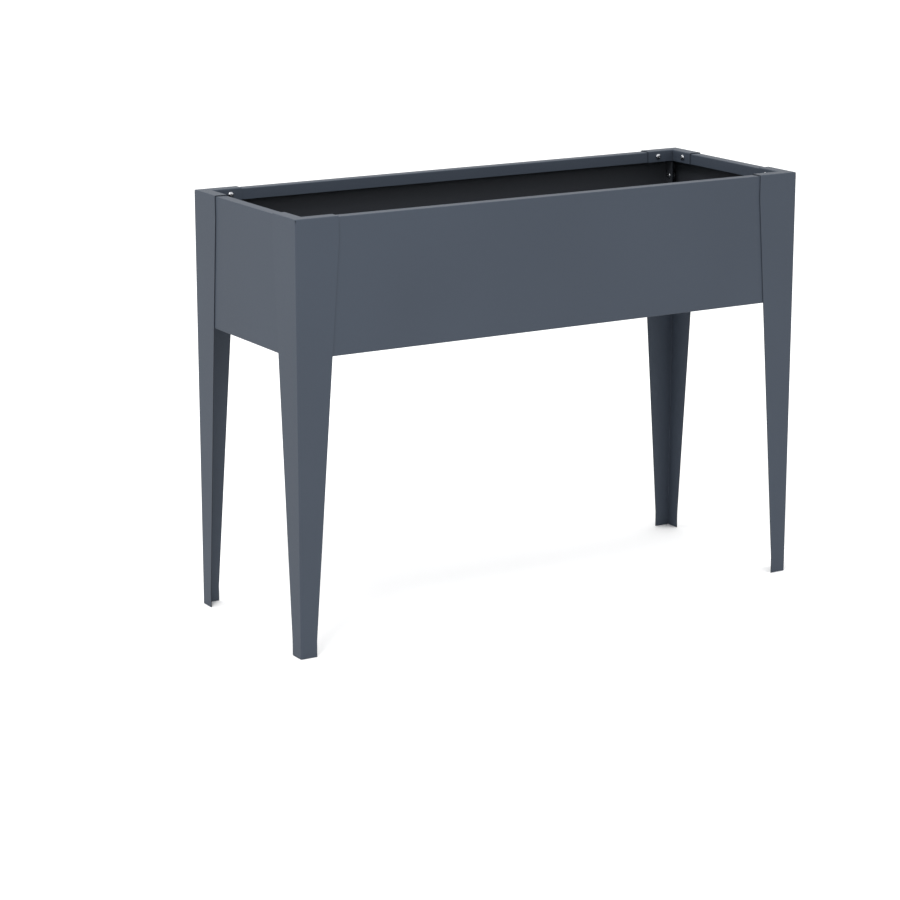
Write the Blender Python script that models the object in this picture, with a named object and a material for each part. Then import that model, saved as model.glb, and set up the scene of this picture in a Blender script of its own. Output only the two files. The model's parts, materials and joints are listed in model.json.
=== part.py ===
"""Raised planter on legs: a folded steel trough hung between four tapered corner legs.

Metres, +Z up. The origin is on the floor under the middle of the planter. X runs along the
length, Y across the depth, and the front is at -Y. Every flat piece is drawn as it would lie
on a bench, outer side down: x along the piece, y up its height, z towards the trough.
"""

import math

import bmesh
import bpy
from mathutils import Matrix, Vector

for leftover in list(bpy.data.objects):
    bpy.data.objects.remove(leftover, do_unlink=True)

# ---------------------------------------------------------------- overall sizes
LENGTH = 1.090
DEPTH = 0.400
HEIGHT = 0.800
BOX_HEIGHT = 0.250  # rim of the legs down to the underside of the trough

# ---------------------------------------------------------------- sheet and folds
LEG_SHEET = 0.0015
PANEL_SHEET = 0.0010
BASE_SHEET = 0.0010
INNER_BEND = 0.0008  # inside radius of every fold
BEND_STEPS = 2  # facets across a fold
SHEET_GAP = 0.0003  # air between two pieces that lie on each other
RELIEF = 0.0030  # little square cut out where two folds would meet

# ---------------------------------------------------------------- legs
LEG_TOP_WIDTH = 0.086
LEG_FOOT_WIDTH = 0.033
LEG_TOP_STRAIGHT = 0.045  # untapered length under the rim
LEG_FOOT_STRAIGHT = 0.030  # untapered length above the floor
RIM_WIDTH = 0.026  # outer face to the trough side of the leg's lip
LIP_HEIGHT = 0.0225  # top of the rim to the lower edge of every lip
CORNER_HOLE_RADIUS = 0.0013  # relief hole in a leg, where its three folds meet

# ---------------------------------------------------------------- trough and base
LEDGE_WIDTH = 0.020  # inward fold under the panels that carries the base
BASE_CLEARANCE = 0.0010  # base rim to the panel beside it
BASE_RIM_HEIGHT = 0.015
RIB_HEIGHT = 0.022  # upstands where the two base plates meet
CORNER_CLEARANCE = 0.0030  # base notch to the corner joint

# ---------------------------------------------------------------- fasteners
SHANK_RADIUS = 0.0030
SHANK_LENGTH = 0.012
HEAD_RADIUS = 0.0055
HEAD_HEIGHT = 0.0033
HEAD_SIDE = 0.0013  # upright side of the head, under its dome
CROWN_RADIUS = 0.0034  # where the dome bends over to its crown
CROWN_HEIGHT = 0.0029
NUT_FLATS = 0.010
NUT_HEIGHT = 0.006
NUT_FLANGE_RADIUS = 0.0065
NUT_FLANGE_HEIGHT = 0.0012
NUT_BORE_GAP = 0.0003  # nut bore to shank
HOLE_CLEARANCE = 0.0005  # sheet hole to shank
STUD_LENGTH = 0.011  # weld stud, from the leg plate's inner face
ROUND_STEPS = 12  # facets round a screw, a nut or a hole

RIM_SCREW_OFFSET = 0.062  # planter corner to a rim screw
RIM_SCREW_DROP = 0.0115  # leg top to a rim screw
CORNER_SCREW_EDGE = 0.010  # free edge of a corner flange to its screws
CORNER_SCREW_DROP = 0.054  # leg top to the upper corner screw
CORNER_SCREW_RISE = 0.050  # trough underside to the lower corner screw
STUD_OFFSET = 0.045  # planter corner to a weld stud
STUD_RISE = 0.040  # trough underside to a weld stud
RIB_SCREW_SPACING = 0.120
RIB_SCREW_RISE = 0.011  # base underside to a rib screw
DRAIN_RADIUS = 0.004
DRAIN_SPACING = 0.150
DRAIN_ROW_OFFSET = 0.090  # planter's centre plane to a row of drain holes

# ---------------------------------------------------------------- places worked out
BOX_BOTTOM = HEIGHT - BOX_HEIGHT
PANEL_INSET = LEG_SHEET + SHEET_GAP  # planter's outer face to a panel's outer face
PANEL_TOP = HEIGHT - LEG_SHEET - SHEET_GAP
PANEL_RISE = PANEL_TOP - BOX_BOTTOM
PANEL_RIM = RIM_WIDTH - LEG_SHEET - SHEET_GAP - PANEL_INSET
PANEL_LIP = LIP_HEIGHT - LEG_SHEET - SHEET_GAP
CORNER_TOP = PANEL_RISE - PANEL_LIP - RELIEF  # corner folds stop under the lips
LONG_HALF = LENGTH / 2 - RIM_WIDTH + PANEL_SHEET
END_HALF = DEPTH / 2 - PANEL_INSET
END_RETURN = RIM_WIDTH - PANEL_SHEET - SHEET_GAP - PANEL_INSET
CORNER_FLANGE = RIM_WIDTH - PANEL_INSET
CORNER_LIP = CORNER_FLANGE - PANEL_SHEET
CORNER_SCREW_DEPTH = CORNER_FLANGE - CORNER_SCREW_EDGE
HOLE_RADIUS = SHANK_RADIUS + HOLE_CLEARANCE
BASE_BOTTOM = BOX_BOTTOM + PANEL_SHEET + SHEET_GAP
BASE_INSET = PANEL_INSET + PANEL_SHEET + BASE_CLEARANCE
BASE_NOTCH = RIM_WIDTH + CORNER_CLEARANCE - BASE_INSET
OUTER_BEND = INNER_BEND + LEG_SHEET  # outside radius of a leg's folds
LIP_NOTCH = OUTER_BEND + 2 * SHEET_GAP  # open square where a leg's two lips would meet
LIP_TRIM = INNER_BEND + PANEL_SHEET + SHEET_GAP  # strip that an end panel's rim loses with its lip
CUT_LENGTH = 0.006  # a drill that passes one sheet and reaches no other
CUT_PLAY = 0.001  # how far a cutter stands out of what it cuts
QUARTER_TURN = math.pi / 2
SAME_PLACE = 1e-6  # points nearer than this are one place

AXIS_X = Vector((1, 0, 0))
AXIS_Y = Vector((0, 1, 0))
AXIS_Z = Vector((0, 0, 1))


# ---------------------------------------------------------------- materials
def coat(name, colour, roughness, metallic):
    material = bpy.data.materials.new(name)
    material.use_nodes = True
    shader = material.node_tree.nodes["Principled BSDF"]
    shader.inputs["Base Color"].default_value = (*colour, 1)
    shader.inputs["Roughness"].default_value = roughness
    shader.inputs["Metallic"].default_value = metallic
    return material


LEG_COAT = coat("leg_coat", (0.080, 0.095, 0.120), 0.50, 0.0)
PANEL_COAT = coat("panel_coat", (0.080, 0.095, 0.120), 0.52, 0.0)
BASE_COAT = coat("base_coat", (0.070, 0.083, 0.105), 0.58, 0.0)
ZINC = coat("zinc_plate", (0.62, 0.63, 0.64), 0.35, 1.0)


# ---------------------------------------------------------------- sheet work
def add_object(name, mesh, material):
    part = bpy.data.objects.new(name, mesh)
    bpy.context.scene.collection.objects.link(part)
    if not mesh.materials:
        mesh.materials.append(material)
    return part


def extrude_row(sheet, row, places):
    """Extrude a chain of vertices and put the new chain on the given places."""
    edges = [sheet.edges.get(pair) for pair in zip(row, row[1:])]
    made = bmesh.ops.extrude_edge_only(sheet, edges=edges)["geom"]
    fresh = [item for item in made if isinstance(item, bmesh.types.BMVert)]
    chain = [min(fresh, key=lambda new: (new.co - old.co).length) for old in row]
    for vert, place in zip(chain, places):
        vert.co = place
    return chain


def flat_blank(xs, ys, is_cut_out):
    """A flat sheet on the bench over the given stops, without the cells that are cut out."""
    sheet = bmesh.new()
    row = [sheet.verts.new((x, ys[0], 0)) for x in xs]
    for pair in zip(row, row[1:]):
        sheet.edges.new(pair)
    for y in ys[1:]:
        row = extrude_row(sheet, row, [(x, y, 0) for x in xs])
    lost = [face for face in sheet.faces if is_cut_out(*face.calc_center_median().xy)]
    bmesh.ops.delete(sheet, geom=lost, context="FACES")
    return sheet


def rim_edges(sheet, axis, value):
    """Free edges of a flat blank that lie at one value of a bench axis (0 for x, 1 for y)."""
    return [
        edge
        for edge in sheet.edges
        if edge.is_boundary and all(abs(v.co[axis] - value) < SAME_PLACE for v in edge.verts)
    ]


def fold(sheet, edges, move):
    """Grow a flange from free edges and return the flange's own free edges."""
    made = bmesh.ops.extrude_edge_only(sheet, edges=edges)["geom"]
    fresh = {item for item in made if isinstance(item, bmesh.types.BMVert)}
    bmesh.ops.translate(sheet, verts=list(fresh), vec=move)
    return [
        item
        for item in made
        if isinstance(item, bmesh.types.BMEdge) and set(item.verts) <= fresh
    ]


def fold_lines(sheet):
    """Edges between two faces that don't lie in one plane."""
    inner = [edge for edge in sheet.edges if edge.is_manifold]
    return [edge for edge in inner if edge.calc_face_angle() > QUARTER_TURN / 2]


def finish_sheet(name, sheet, outside, thickness, material):
    """Round the folds and give the sheet its thickness, behind the side that faces outside."""
    bmesh.ops.recalc_face_normals(sheet, faces=sheet.faces[:])
    largest = max(sheet.faces, key=lambda face: face.calc_area())
    if largest.normal.dot(outside) < 0:
        bmesh.ops.reverse_faces(sheet, faces=sheet.faces[:])
    bmesh.ops.bevel(
        sheet,
        geom=fold_lines(sheet),
        affect="EDGES",
        offset=INNER_BEND + thickness,
        segments=BEND_STEPS,
        profile=0.5,
        material=-1,
    )
    mesh = bpy.data.meshes.new(name)
    sheet.to_mesh(mesh)
    sheet.free()
    part = add_object(name, mesh, material)
    solidify = part.modifiers.new("sheet_thickness", "SOLIDIFY")
    solidify.thickness = thickness
    solidify.offset = -1
    solidify.use_even_offset = True
    solidify.use_quality_normals = True
    return part


def as_helper(name, body):
    """An object that only cuts another or is joined to it."""
    mesh = bpy.data.meshes.new(name)
    body.to_mesh(mesh)
    body.free()
    helper = bpy.data.objects.new(name, mesh)
    bpy.context.scene.collection.objects.link(helper)
    helper.hide_render = True
    helper.display_type = "WIRE"
    return helper


def rods(name, centres, axis, radius, length):
    """One helper object that holds a short rod at each centre, all along one axis."""
    turn = AXIS_Z.rotation_difference(axis).to_matrix().to_4x4()
    bundle = bmesh.new()
    for centre in centres:
        bmesh.ops.create_cone(
            bundle,
            cap_ends=True,
            segments=ROUND_STEPS,
            radius1=radius,
            radius2=radius,
            depth=length,
            matrix=Matrix.Translation(centre) @ turn,
        )
    return as_helper(name, bundle)


def block(name, corner, far_corner):
    """A helper object that fills the box between two opposite corners."""
    low = Vector(map(min, corner, far_corner))
    high = Vector(map(max, corner, far_corner))
    body = bmesh.new()
    bmesh.ops.create_cube(body, size=1)
    bmesh.ops.scale(body, verts=body.verts, vec=high - low)
    bmesh.ops.translate(body, verts=body.verts, vec=(low + high) / 2)
    return as_helper(name, body)


def combine(part, helper, operation):
    helper.parent = part
    boolean = part.modifiers.new(helper.name, "BOOLEAN")
    boolean.operation = operation
    boolean.solver = "EXACT"
    boolean.object = helper


def drill(part, label, centres, axis, radius=HOLE_RADIUS):
    combine(part, rods(f"{part.name}_{label}", centres, axis, radius, CUT_LENGTH), "DIFFERENCE")


# ---------------------------------------------------------------- legs
def make_leg(name, corner, turn):
    """An L of folded sheet with its rim turned in over the panels, on the corner it stands at.

    Its own origin is on the floor under the outer corner, with both plates along +x and +y.
    """
    levels = [
        (LEG_FOOT_STRAIGHT, LEG_FOOT_WIDTH),
        (HEIGHT - LEG_TOP_STRAIGHT, LEG_TOP_WIDTH),
        (HEIGHT, LEG_TOP_WIDTH),
    ]
    sheet = bmesh.new()
    start = [(0, LEG_FOOT_WIDTH, 0), (0, 0, 0), (LEG_FOOT_WIDTH, 0, 0)]
    row = [sheet.verts.new(place) for place in start]
    for pair in zip(row, row[1:]):
        sheet.edges.new(pair)
    for z, width in levels:
        row = extrude_row(sheet, row, [(0, width, z), (0, 0, z), (width, 0, z)])
    for z in (HEIGHT, HEIGHT - LIP_HEIGHT):
        inner = [
            (RIM_WIDTH, LEG_TOP_WIDTH, z),
            (RIM_WIDTH, RIM_WIDTH, z),
            (LEG_TOP_WIDTH, RIM_WIDTH, z),
        ]
        row = extrude_row(sheet, row, inner)
    outside = Vector((-1, -1, 0))
    leg = finish_sheet(name, sheet, outside, LEG_SHEET, LEG_COAT)

    screw_z = HEIGHT - RIM_SCREW_DROP
    lip_middle = RIM_WIDTH - LEG_SHEET / 2
    drill(leg, "rim_hole_x", [(lip_middle, RIM_SCREW_OFFSET, screw_z)], AXIS_X)
    drill(leg, "rim_hole_y", [(RIM_SCREW_OFFSET, lip_middle, screw_z)], AXIS_Y)
    corner_hole = (LEG_SHEET / 2, LEG_SHEET / 2, HEIGHT - OUTER_BEND - CORNER_HOLE_RADIUS)
    drill(leg, "corner_hole", [corner_hole], AXIS_X + AXIS_Y, CORNER_HOLE_RADIUS)
    notch = block(
        f"{name}_lip_notch",
        (RIM_WIDTH - LIP_NOTCH, RIM_WIDTH - LIP_NOTCH, HEIGHT - LIP_HEIGHT - CUT_PLAY),
        (RIM_WIDTH + CUT_PLAY, RIM_WIDTH + CUT_PLAY, HEIGHT - LIP_NOTCH),
    )
    combine(leg, notch, "DIFFERENCE")

    root = LEG_SHEET / 2  # the stud is welded into the middle of the sheet
    length = LEG_SHEET + STUD_LENGTH - root
    middle = root + length / 2
    stud_z = BOX_BOTTOM + STUD_RISE
    for label, axis, centre in (
        ("stud_x", AXIS_X, (middle, STUD_OFFSET, stud_z)),
        ("stud_y", AXIS_Y, (STUD_OFFSET, middle, stud_z)),
    ):
        stud = rods(f"{name}_{label}", [centre], axis, SHANK_RADIUS, length)
        combine(leg, stud, "UNION")

    leg.location = corner
    leg.rotation_euler.z = turn
    return leg


# ---------------------------------------------------------------- panels
def panel_blank(half):
    xs = [-half, -half + RELIEF, half - RELIEF, half]
    ys = [0, RELIEF, CORNER_TOP, PANEL_RISE - RELIEF, PANEL_RISE]

    def is_cut_out(x, y):
        beside_folds = y < RELIEF or y > CORNER_TOP
        return abs(x) > half - RELIEF and beside_folds

    return flat_blank(xs, ys, is_cut_out)


def fold_rim_and_ledge(sheet):
    rim = fold(sheet, rim_edges(sheet, 1, PANEL_RISE), PANEL_RIM * AXIS_Z)
    fold(sheet, rim, -PANEL_LIP * AXIS_Y)
    fold(sheet, rim_edges(sheet, 1, 0), LEDGE_WIDTH * AXIS_Z)


def drill_panel(panel, half_of_planter):
    """Holes that every panel has: for its rim screws and for the studs of its two legs."""
    lip_depth = PANEL_RIM - PANEL_SHEET / 2
    rim_x = half_of_planter - RIM_SCREW_OFFSET
    rim_y = HEIGHT - RIM_SCREW_DROP - BOX_BOTTOM
    drill(panel, "rim_holes", [(side * rim_x, rim_y, lip_depth) for side in (-1, 1)], AXIS_Z)
    stud_x = half_of_planter - STUD_OFFSET
    face_depth = PANEL_SHEET / 2
    drill(panel, "stud_holes", [(side * stud_x, STUD_RISE, face_depth) for side in (-1, 1)], AXIS_Z)


def corner_screw_heights():
    return (CORNER_SCREW_RISE, HEIGHT - CORNER_SCREW_DROP - BOX_BOTTOM)


def make_long_panel(name, y, turn):
    sheet = panel_blank(LONG_HALF)
    fold_rim_and_ledge(sheet)
    for side in (-1, 1):
        fold(sheet, rim_edges(sheet, 0, side * LONG_HALF), CORNER_FLANGE * AXIS_Z)
    panel = finish_sheet(name, sheet, -AXIS_Z, PANEL_SHEET, PANEL_COAT)
    drill_panel(panel, LENGTH / 2)
    flange_x = LONG_HALF - PANEL_SHEET / 2
    holes = [
        (side * flange_x, height, CORNER_SCREW_DEPTH)
        for side in (-1, 1)
        for height in corner_screw_heights()
    ]
    drill(panel, "corner_holes", holes, AXIS_X)
    panel.location = (0, y, BOX_BOTTOM)
    panel.rotation_euler = (QUARTER_TURN, 0, turn)
    return panel


def make_end_panel(name, x, turn):
    sheet = panel_blank(END_HALF)
    fold_rim_and_ledge(sheet)
    for side in (-1, 1):
        free = fold(sheet, rim_edges(sheet, 0, side * END_HALF), END_RETURN * AXIS_Z)
        fold(sheet, free, -side * CORNER_LIP * AXIS_X)
    panel = finish_sheet(name, sheet, -AXIS_Z, PANEL_SHEET, PANEL_COAT)
    drill_panel(panel, DEPTH / 2)
    for side in (-1, 1):
        trim = block(
            f"{name}_lip_trim_{side}",
            (side * (DEPTH / 2 - RIM_WIDTH), PANEL_RISE - PANEL_LIP - CUT_PLAY, PANEL_RIM - LIP_TRIM),
            (side * (END_HALF + CUT_PLAY), PANEL_RISE + CUT_PLAY, PANEL_RIM + CUT_PLAY),
        )
        combine(panel, trim, "DIFFERENCE")
    hole_x = END_HALF - CORNER_SCREW_DEPTH
    hole_depth = END_RETURN - PANEL_SHEET / 2
    holes = [
        (side * hole_x, height, hole_depth)
        for side in (-1, 1)
        for height in corner_screw_heights()
    ]
    drill(panel, "corner_holes", holes, AXIS_Z)
    panel.location = (x, 0, BOX_BOTTOM)
    panel.rotation_euler = (QUARTER_TURN, 0, turn)
    return panel


# ---------------------------------------------------------------- base
def rib_screw_places():
    return [step * RIB_SCREW_SPACING for step in (-1, 0, 1)]


def make_base_plate(name, side):
    """Half of the trough's floor, with its outer edge at -x and its rib at +x on the bench."""
    outer = -(LENGTH / 2 - BASE_INSET)
    inner = -SHEET_GAP / 2
    half = DEPTH / 2 - BASE_INSET
    xs = [outer, outer + BASE_NOTCH, inner - RELIEF, inner]
    ys = [-half, -half + RELIEF, -half + BASE_NOTCH, half - BASE_NOTCH, half - RELIEF, half]

    def is_cut_out(x, y):
        round_corner_joint = x < outer + BASE_NOTCH and abs(y) > half - BASE_NOTCH
        between_folds = x > inner - RELIEF and abs(y) > half - RELIEF
        return round_corner_joint or between_folds

    sheet = flat_blank(xs, ys, is_cut_out)
    for edges in (
        rim_edges(sheet, 1, -half),
        rim_edges(sheet, 1, half),
        rim_edges(sheet, 0, outer),
    ):
        fold(sheet, edges, BASE_RIM_HEIGHT * AXIS_Z)
    fold(sheet, rim_edges(sheet, 0, inner), RIB_HEIGHT * AXIS_Z)
    plate = finish_sheet(name, sheet, -AXIS_Z, BASE_SHEET, BASE_COAT)

    rib_x = inner - BASE_SHEET / 2
    drill(plate, "rib_holes", [(rib_x, y, RIB_SCREW_RISE) for y in rib_screw_places()], AXIS_X)
    drains = [
        (-(step + 0.5) * DRAIN_SPACING, row * DRAIN_ROW_OFFSET, BASE_SHEET / 2)
        for step in range(3)
        for row in (-1, 1)
    ]
    drill(plate, "drain_holes", drains, AXIS_Z, DRAIN_RADIUS)
    plate.location = (0, 0, BASE_BOTTOM)
    plate.rotation_euler.z = 0 if side < 0 else math.pi
    return plate


# ---------------------------------------------------------------- screws and nuts
def turned_body(outline, closed):
    """A body turned about z from an outline of (radius, z) points."""
    body = bmesh.new()
    verts = [body.verts.new((radius, 0, z)) for radius, z in outline]
    edges = [body.edges.new(pair) for pair in zip(verts, verts[1:])]
    if closed:
        edges.append(body.edges.new((verts[-1], verts[0])))
    bmesh.ops.spin(
        body,
        geom=verts + edges,
        axis=AXIS_Z,
        cent=(0, 0, 0),
        angle=2 * math.pi,
        steps=ROUND_STEPS,
        use_merge=True,
    )
    bmesh.ops.remove_doubles(body, verts=body.verts[:], dist=SAME_PLACE)
    bmesh.ops.recalc_face_normals(body, faces=body.faces[:])
    return body


def finish_turned(name, body):
    mesh = bpy.data.meshes.new(name)
    body.to_mesh(mesh)
    body.free()
    mesh.shade_smooth()
    mesh.set_sharp_from_angle(angle=math.radians(35))
    return mesh


def nut_mesh():
    """A flange nut whose seat is at z = 0 and whose hexagon stands up +z."""
    bore = SHANK_RADIUS + NUT_BORE_GAP
    flat = NUT_FLATS / 2
    outline = [
        (bore, 0),
        (NUT_FLANGE_RADIUS, 0),
        (NUT_FLANGE_RADIUS, NUT_FLANGE_HEIGHT),
        (flat, NUT_FLANGE_HEIGHT),
        (flat, NUT_HEIGHT),
        (bore, NUT_HEIGHT),
    ]
    body = turned_body(outline, closed=True)
    for vert in body.verts:
        if abs(vert.co.xy.length - flat) < SAME_PLACE:
            from_flat = math.atan2(vert.co.y, vert.co.x) % (math.pi / 3) - math.pi / 6
            vert.co.xy /= math.cos(from_flat)
    return finish_turned("flange_nut", body)


def screw_mesh():
    """A domed-head screw whose seat is at z = 0, head up +z and shank down -z."""
    outline = [
        (0, HEAD_HEIGHT),
        (CROWN_RADIUS, CROWN_HEIGHT),
        (HEAD_RADIUS, HEAD_SIDE),
        (HEAD_RADIUS, 0),
        (SHANK_RADIUS, 0),
        (SHANK_RADIUS, -SHANK_LENGTH),
        (0, -SHANK_LENGTH),
    ]
    return finish_turned("domed_screw", turned_body(outline, closed=False))


SCREW = screw_mesh()
NUT = nut_mesh()


def place_fastener(name, mesh, seat, points_along):
    part = add_object(name, mesh, ZINC)
    part.location = seat
    part.rotation_mode = "QUATERNION"
    part.rotation_quaternion = AXIS_Z.rotation_difference(points_along)
    return part


def screw_and_nut(label, seat, into_trough, stack):
    """A screw whose head is on the trough side of a stack of sheets, and its nut behind."""
    seat = Vector(seat)
    place_fastener(f"{label}_screw", SCREW, seat + SHEET_GAP * into_trough, into_trough)
    place_fastener(f"{label}_nut", NUT, seat - (stack + SHEET_GAP) * into_trough, -into_trough)


# ---------------------------------------------------------------- the planter put together
CORNERS = {
    "front_left": (-1, -1, 0),
    "front_right": (1, -1, QUARTER_TURN),
    "rear_right": (1, 1, 2 * QUARTER_TURN),
    "rear_left": (-1, 1, 3 * QUARTER_TURN),
}


def fasten_corner(corner, side_x, side_y):
    """Rim screws, corner screws and stud nuts at one corner of the trough."""
    out_x = side_x * LENGTH / 2
    out_y = side_y * DEPTH / 2
    in_x = -side_x * AXIS_X
    in_y = -side_y * AXIS_Y

    rim_z = HEIGHT - RIM_SCREW_DROP
    rim_stack = LEG_SHEET + SHEET_GAP + PANEL_SHEET
    on_long = (out_x - side_x * RIM_SCREW_OFFSET, out_y - side_y * RIM_WIDTH, rim_z)
    on_end = (out_x - side_x * RIM_WIDTH, out_y - side_y * RIM_SCREW_OFFSET, rim_z)
    screw_and_nut(f"{corner}_rim_long", on_long, in_y, rim_stack)
    screw_and_nut(f"{corner}_rim_end", on_end, in_x, rim_stack)

    joint_stack = 2 * PANEL_SHEET + SHEET_GAP
    joint_x = out_x - side_x * RIM_WIDTH
    joint_y = out_y - side_y * (PANEL_INSET + CORNER_SCREW_DEPTH)
    for level, height in zip(("lower", "upper"), corner_screw_heights()):
        seat = (joint_x, joint_y, BOX_BOTTOM + height)
        screw_and_nut(f"{corner}_joint_{level}", seat, in_x, joint_stack)

    stud_z = BOX_BOTTOM + STUD_RISE
    behind = PANEL_INSET + PANEL_SHEET + SHEET_GAP
    long_seat = (out_x - side_x * STUD_OFFSET, out_y - side_y * behind, stud_z)
    end_seat = (out_x - side_x * behind, out_y - side_y * STUD_OFFSET, stud_z)
    place_fastener(f"{corner}_stud_nut_long", NUT, long_seat, in_y)
    place_fastener(f"{corner}_stud_nut_end", NUT, end_seat, in_x)


def build_planter():
    for corner, (side_x, side_y, turn) in CORNERS.items():
        make_leg(f"{corner}_leg", (side_x * LENGTH / 2, side_y * DEPTH / 2, 0), turn)
        fasten_corner(corner, side_x, side_y)
    panel_y = DEPTH / 2 - PANEL_INSET
    make_long_panel("front_panel", -panel_y, math.pi)
    make_long_panel("rear_panel", panel_y, 0)
    panel_x = LENGTH / 2 - PANEL_INSET
    make_end_panel("left_end_panel", -panel_x, QUARTER_TURN)
    make_end_panel("right_end_panel", panel_x, -QUARTER_TURN)
    make_base_plate("left_base_plate", -1)
    make_base_plate("right_base_plate", 1)
    rib_stack = 2 * BASE_SHEET + SHEET_GAP
    rib_seat_x = rib_stack / 2
    for place, y in zip(("front", "middle", "rear"), rib_screw_places()):
        seat = (rib_seat_x, y, BASE_BOTTOM + RIB_SCREW_RISE)
        screw_and_nut(f"{place}_rib", seat, AXIS_X, rib_stack)


build_planter()
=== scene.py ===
# %% [markdown]
# # A raised planter on four tapered legs
# The real planter comes as a flat pack of folded steel. Four L-shaped legs taper towards the
# floor. Two long panels and two end panels hang between them, and two plates make the floor of
# the trough. Screws, flange nuts and weld studs hold it together.
#
# The CAD model fixes every place and size. It is loaded first and is never changed. Each of its
# nodes is then stood for by a finer piece, which has real bends, rounded edges, threads and
# screw recesses.

# %% Load the CAD frame
import json
import math

import bmesh
import bpy
from mathutils import Matrix, Vector

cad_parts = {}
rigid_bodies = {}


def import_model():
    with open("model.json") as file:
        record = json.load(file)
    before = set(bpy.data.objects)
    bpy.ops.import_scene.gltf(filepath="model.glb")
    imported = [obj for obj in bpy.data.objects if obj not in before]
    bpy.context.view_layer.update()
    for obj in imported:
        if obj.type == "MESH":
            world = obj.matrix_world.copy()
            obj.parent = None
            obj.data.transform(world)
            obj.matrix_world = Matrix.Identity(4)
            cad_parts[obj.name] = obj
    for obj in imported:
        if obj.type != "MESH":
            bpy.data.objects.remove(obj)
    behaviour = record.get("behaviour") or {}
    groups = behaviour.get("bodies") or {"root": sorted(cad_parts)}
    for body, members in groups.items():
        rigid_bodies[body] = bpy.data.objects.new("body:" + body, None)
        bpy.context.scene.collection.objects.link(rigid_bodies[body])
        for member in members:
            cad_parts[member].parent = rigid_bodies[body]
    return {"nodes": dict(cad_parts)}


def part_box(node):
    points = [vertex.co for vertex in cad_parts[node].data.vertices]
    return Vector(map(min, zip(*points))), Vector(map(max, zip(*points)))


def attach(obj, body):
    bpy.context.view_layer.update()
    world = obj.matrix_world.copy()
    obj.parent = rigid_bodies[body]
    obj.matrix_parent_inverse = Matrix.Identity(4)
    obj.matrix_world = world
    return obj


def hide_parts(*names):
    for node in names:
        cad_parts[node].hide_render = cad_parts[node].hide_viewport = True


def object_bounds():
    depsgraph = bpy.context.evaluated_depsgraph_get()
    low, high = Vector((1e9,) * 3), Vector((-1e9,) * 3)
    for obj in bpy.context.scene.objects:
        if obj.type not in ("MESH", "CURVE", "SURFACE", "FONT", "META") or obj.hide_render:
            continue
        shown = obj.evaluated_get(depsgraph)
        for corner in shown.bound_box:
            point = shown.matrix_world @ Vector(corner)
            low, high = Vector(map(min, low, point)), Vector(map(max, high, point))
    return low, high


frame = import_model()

cad_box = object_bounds()
print("CAD nodes:", len(frame["nodes"]))
print("CAD box, low and high corner:", *[tuple(round(c, 4) for c in corner) for corner in cad_box])

# %% [markdown]
# ## Measures
# The overall sizes and the places of the trough come from the CAD nodes' boxes. Only what a box
# can't tell is written down here: how thick each sheet is, and how tightly it was folded. A
# press brake leaves an inside radius of a little under one sheet thickness.

# %% Sizes read from the frame, and the sheets' own values
LEG_SHEET = 0.0015
PANEL_SHEET = 0.0010
INNER_BEND = 0.0008
SHEET_GAP = 0.0003
RELIEF = 0.0030  # little square cut out of a blank where two folds would meet

low, high = cad_box
LENGTH, DEPTH, HEIGHT = high - low

leg_low, leg_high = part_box("front_left_leg")
panel_low, panel_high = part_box("front_panel")
end_low, end_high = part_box("left_end_panel")
LEG_TOP_WIDTH = leg_high.x - leg_low.x
BOX_BOTTOM = panel_low.z
PANEL_RISE = panel_high.z - panel_low.z
PANEL_INSET = panel_low.y - low.y
print(f"planter {LENGTH:.3f} x {DEPTH:.3f} x {HEIGHT:.3f} m, trough from {BOX_BOTTOM:.3f} m up")

# %% [markdown]
# ## Camera
# A long lens from the front left, a little above the rim, so that the upright edges stay
# nearly parallel and the eye just sees into the trough.

# %% Aim the camera
CAMERA_AZIMUTH = math.radians(-30.93)
CAMERA_ELEVATION = math.radians(14.24)
CAMERA_DISTANCE = 5.264
CAMERA_LENS = 110.1
AIM_LEFT = 0.113  # how far left of the planter's middle the camera is aimed
AIM_DOWN = 0.110  # and how far below it

back = Vector((
    math.sin(CAMERA_AZIMUTH) * math.cos(CAMERA_ELEVATION),
    -math.cos(CAMERA_AZIMUTH) * math.cos(CAMERA_ELEVATION),
    math.sin(CAMERA_ELEVATION),
))
aim = (low + high) / 2 - Vector((AIM_LEFT, 0, AIM_DOWN))
camera = bpy.data.objects.new("camera", bpy.data.cameras.new("camera"))
camera.data.lens = CAMERA_LENS
camera.location = aim + CAMERA_DISTANCE * back
camera.rotation_euler = back.to_track_quat("Z", "Y").to_euler()
bpy.context.scene.collection.objects.link(camera)
bpy.context.scene.camera = camera
print("camera at", tuple(round(c, 3) for c in camera.location))

# %% [markdown]
# ## Shader sums as Python
# A finish on real metal is never one flat value. To write such changes as plain sums, one small
# class wraps a shader socket, and every + or * on it adds a Math node. Any other node comes from
# one method, which sets the node up and then feeds its sockets.

# %% A socket that can be added and multiplied
class Amount:
    """A value that changes over a surface: a socket, and the finish that it belongs to."""

    def __init__(self, finish, socket):
        self.finish = finish
        self.socket = socket

    def math(self, operation, first, second):
        return self.finish.node("ShaderNodeMath", {"operation": operation}, {0: first, 1: second})

    def __add__(self, other):
        return self.math("ADD", self, other)

    def __sub__(self, other):
        return self.math("SUBTRACT", self, other)

    def __rsub__(self, other):
        return self.math("SUBTRACT", other, self)

    def __mul__(self, other):
        return self.math("MULTIPLY", self, other)

    __radd__ = __add__
    __rmul__ = __mul__


print("sums on shader sockets are ready")

# %% A finish and its nodes
MIX_FACTOR, MIX_FIRST, MIX_SECOND, MIX_COLOUR = 0, 6, 7, 2  # a Mix node's colour sockets


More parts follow.
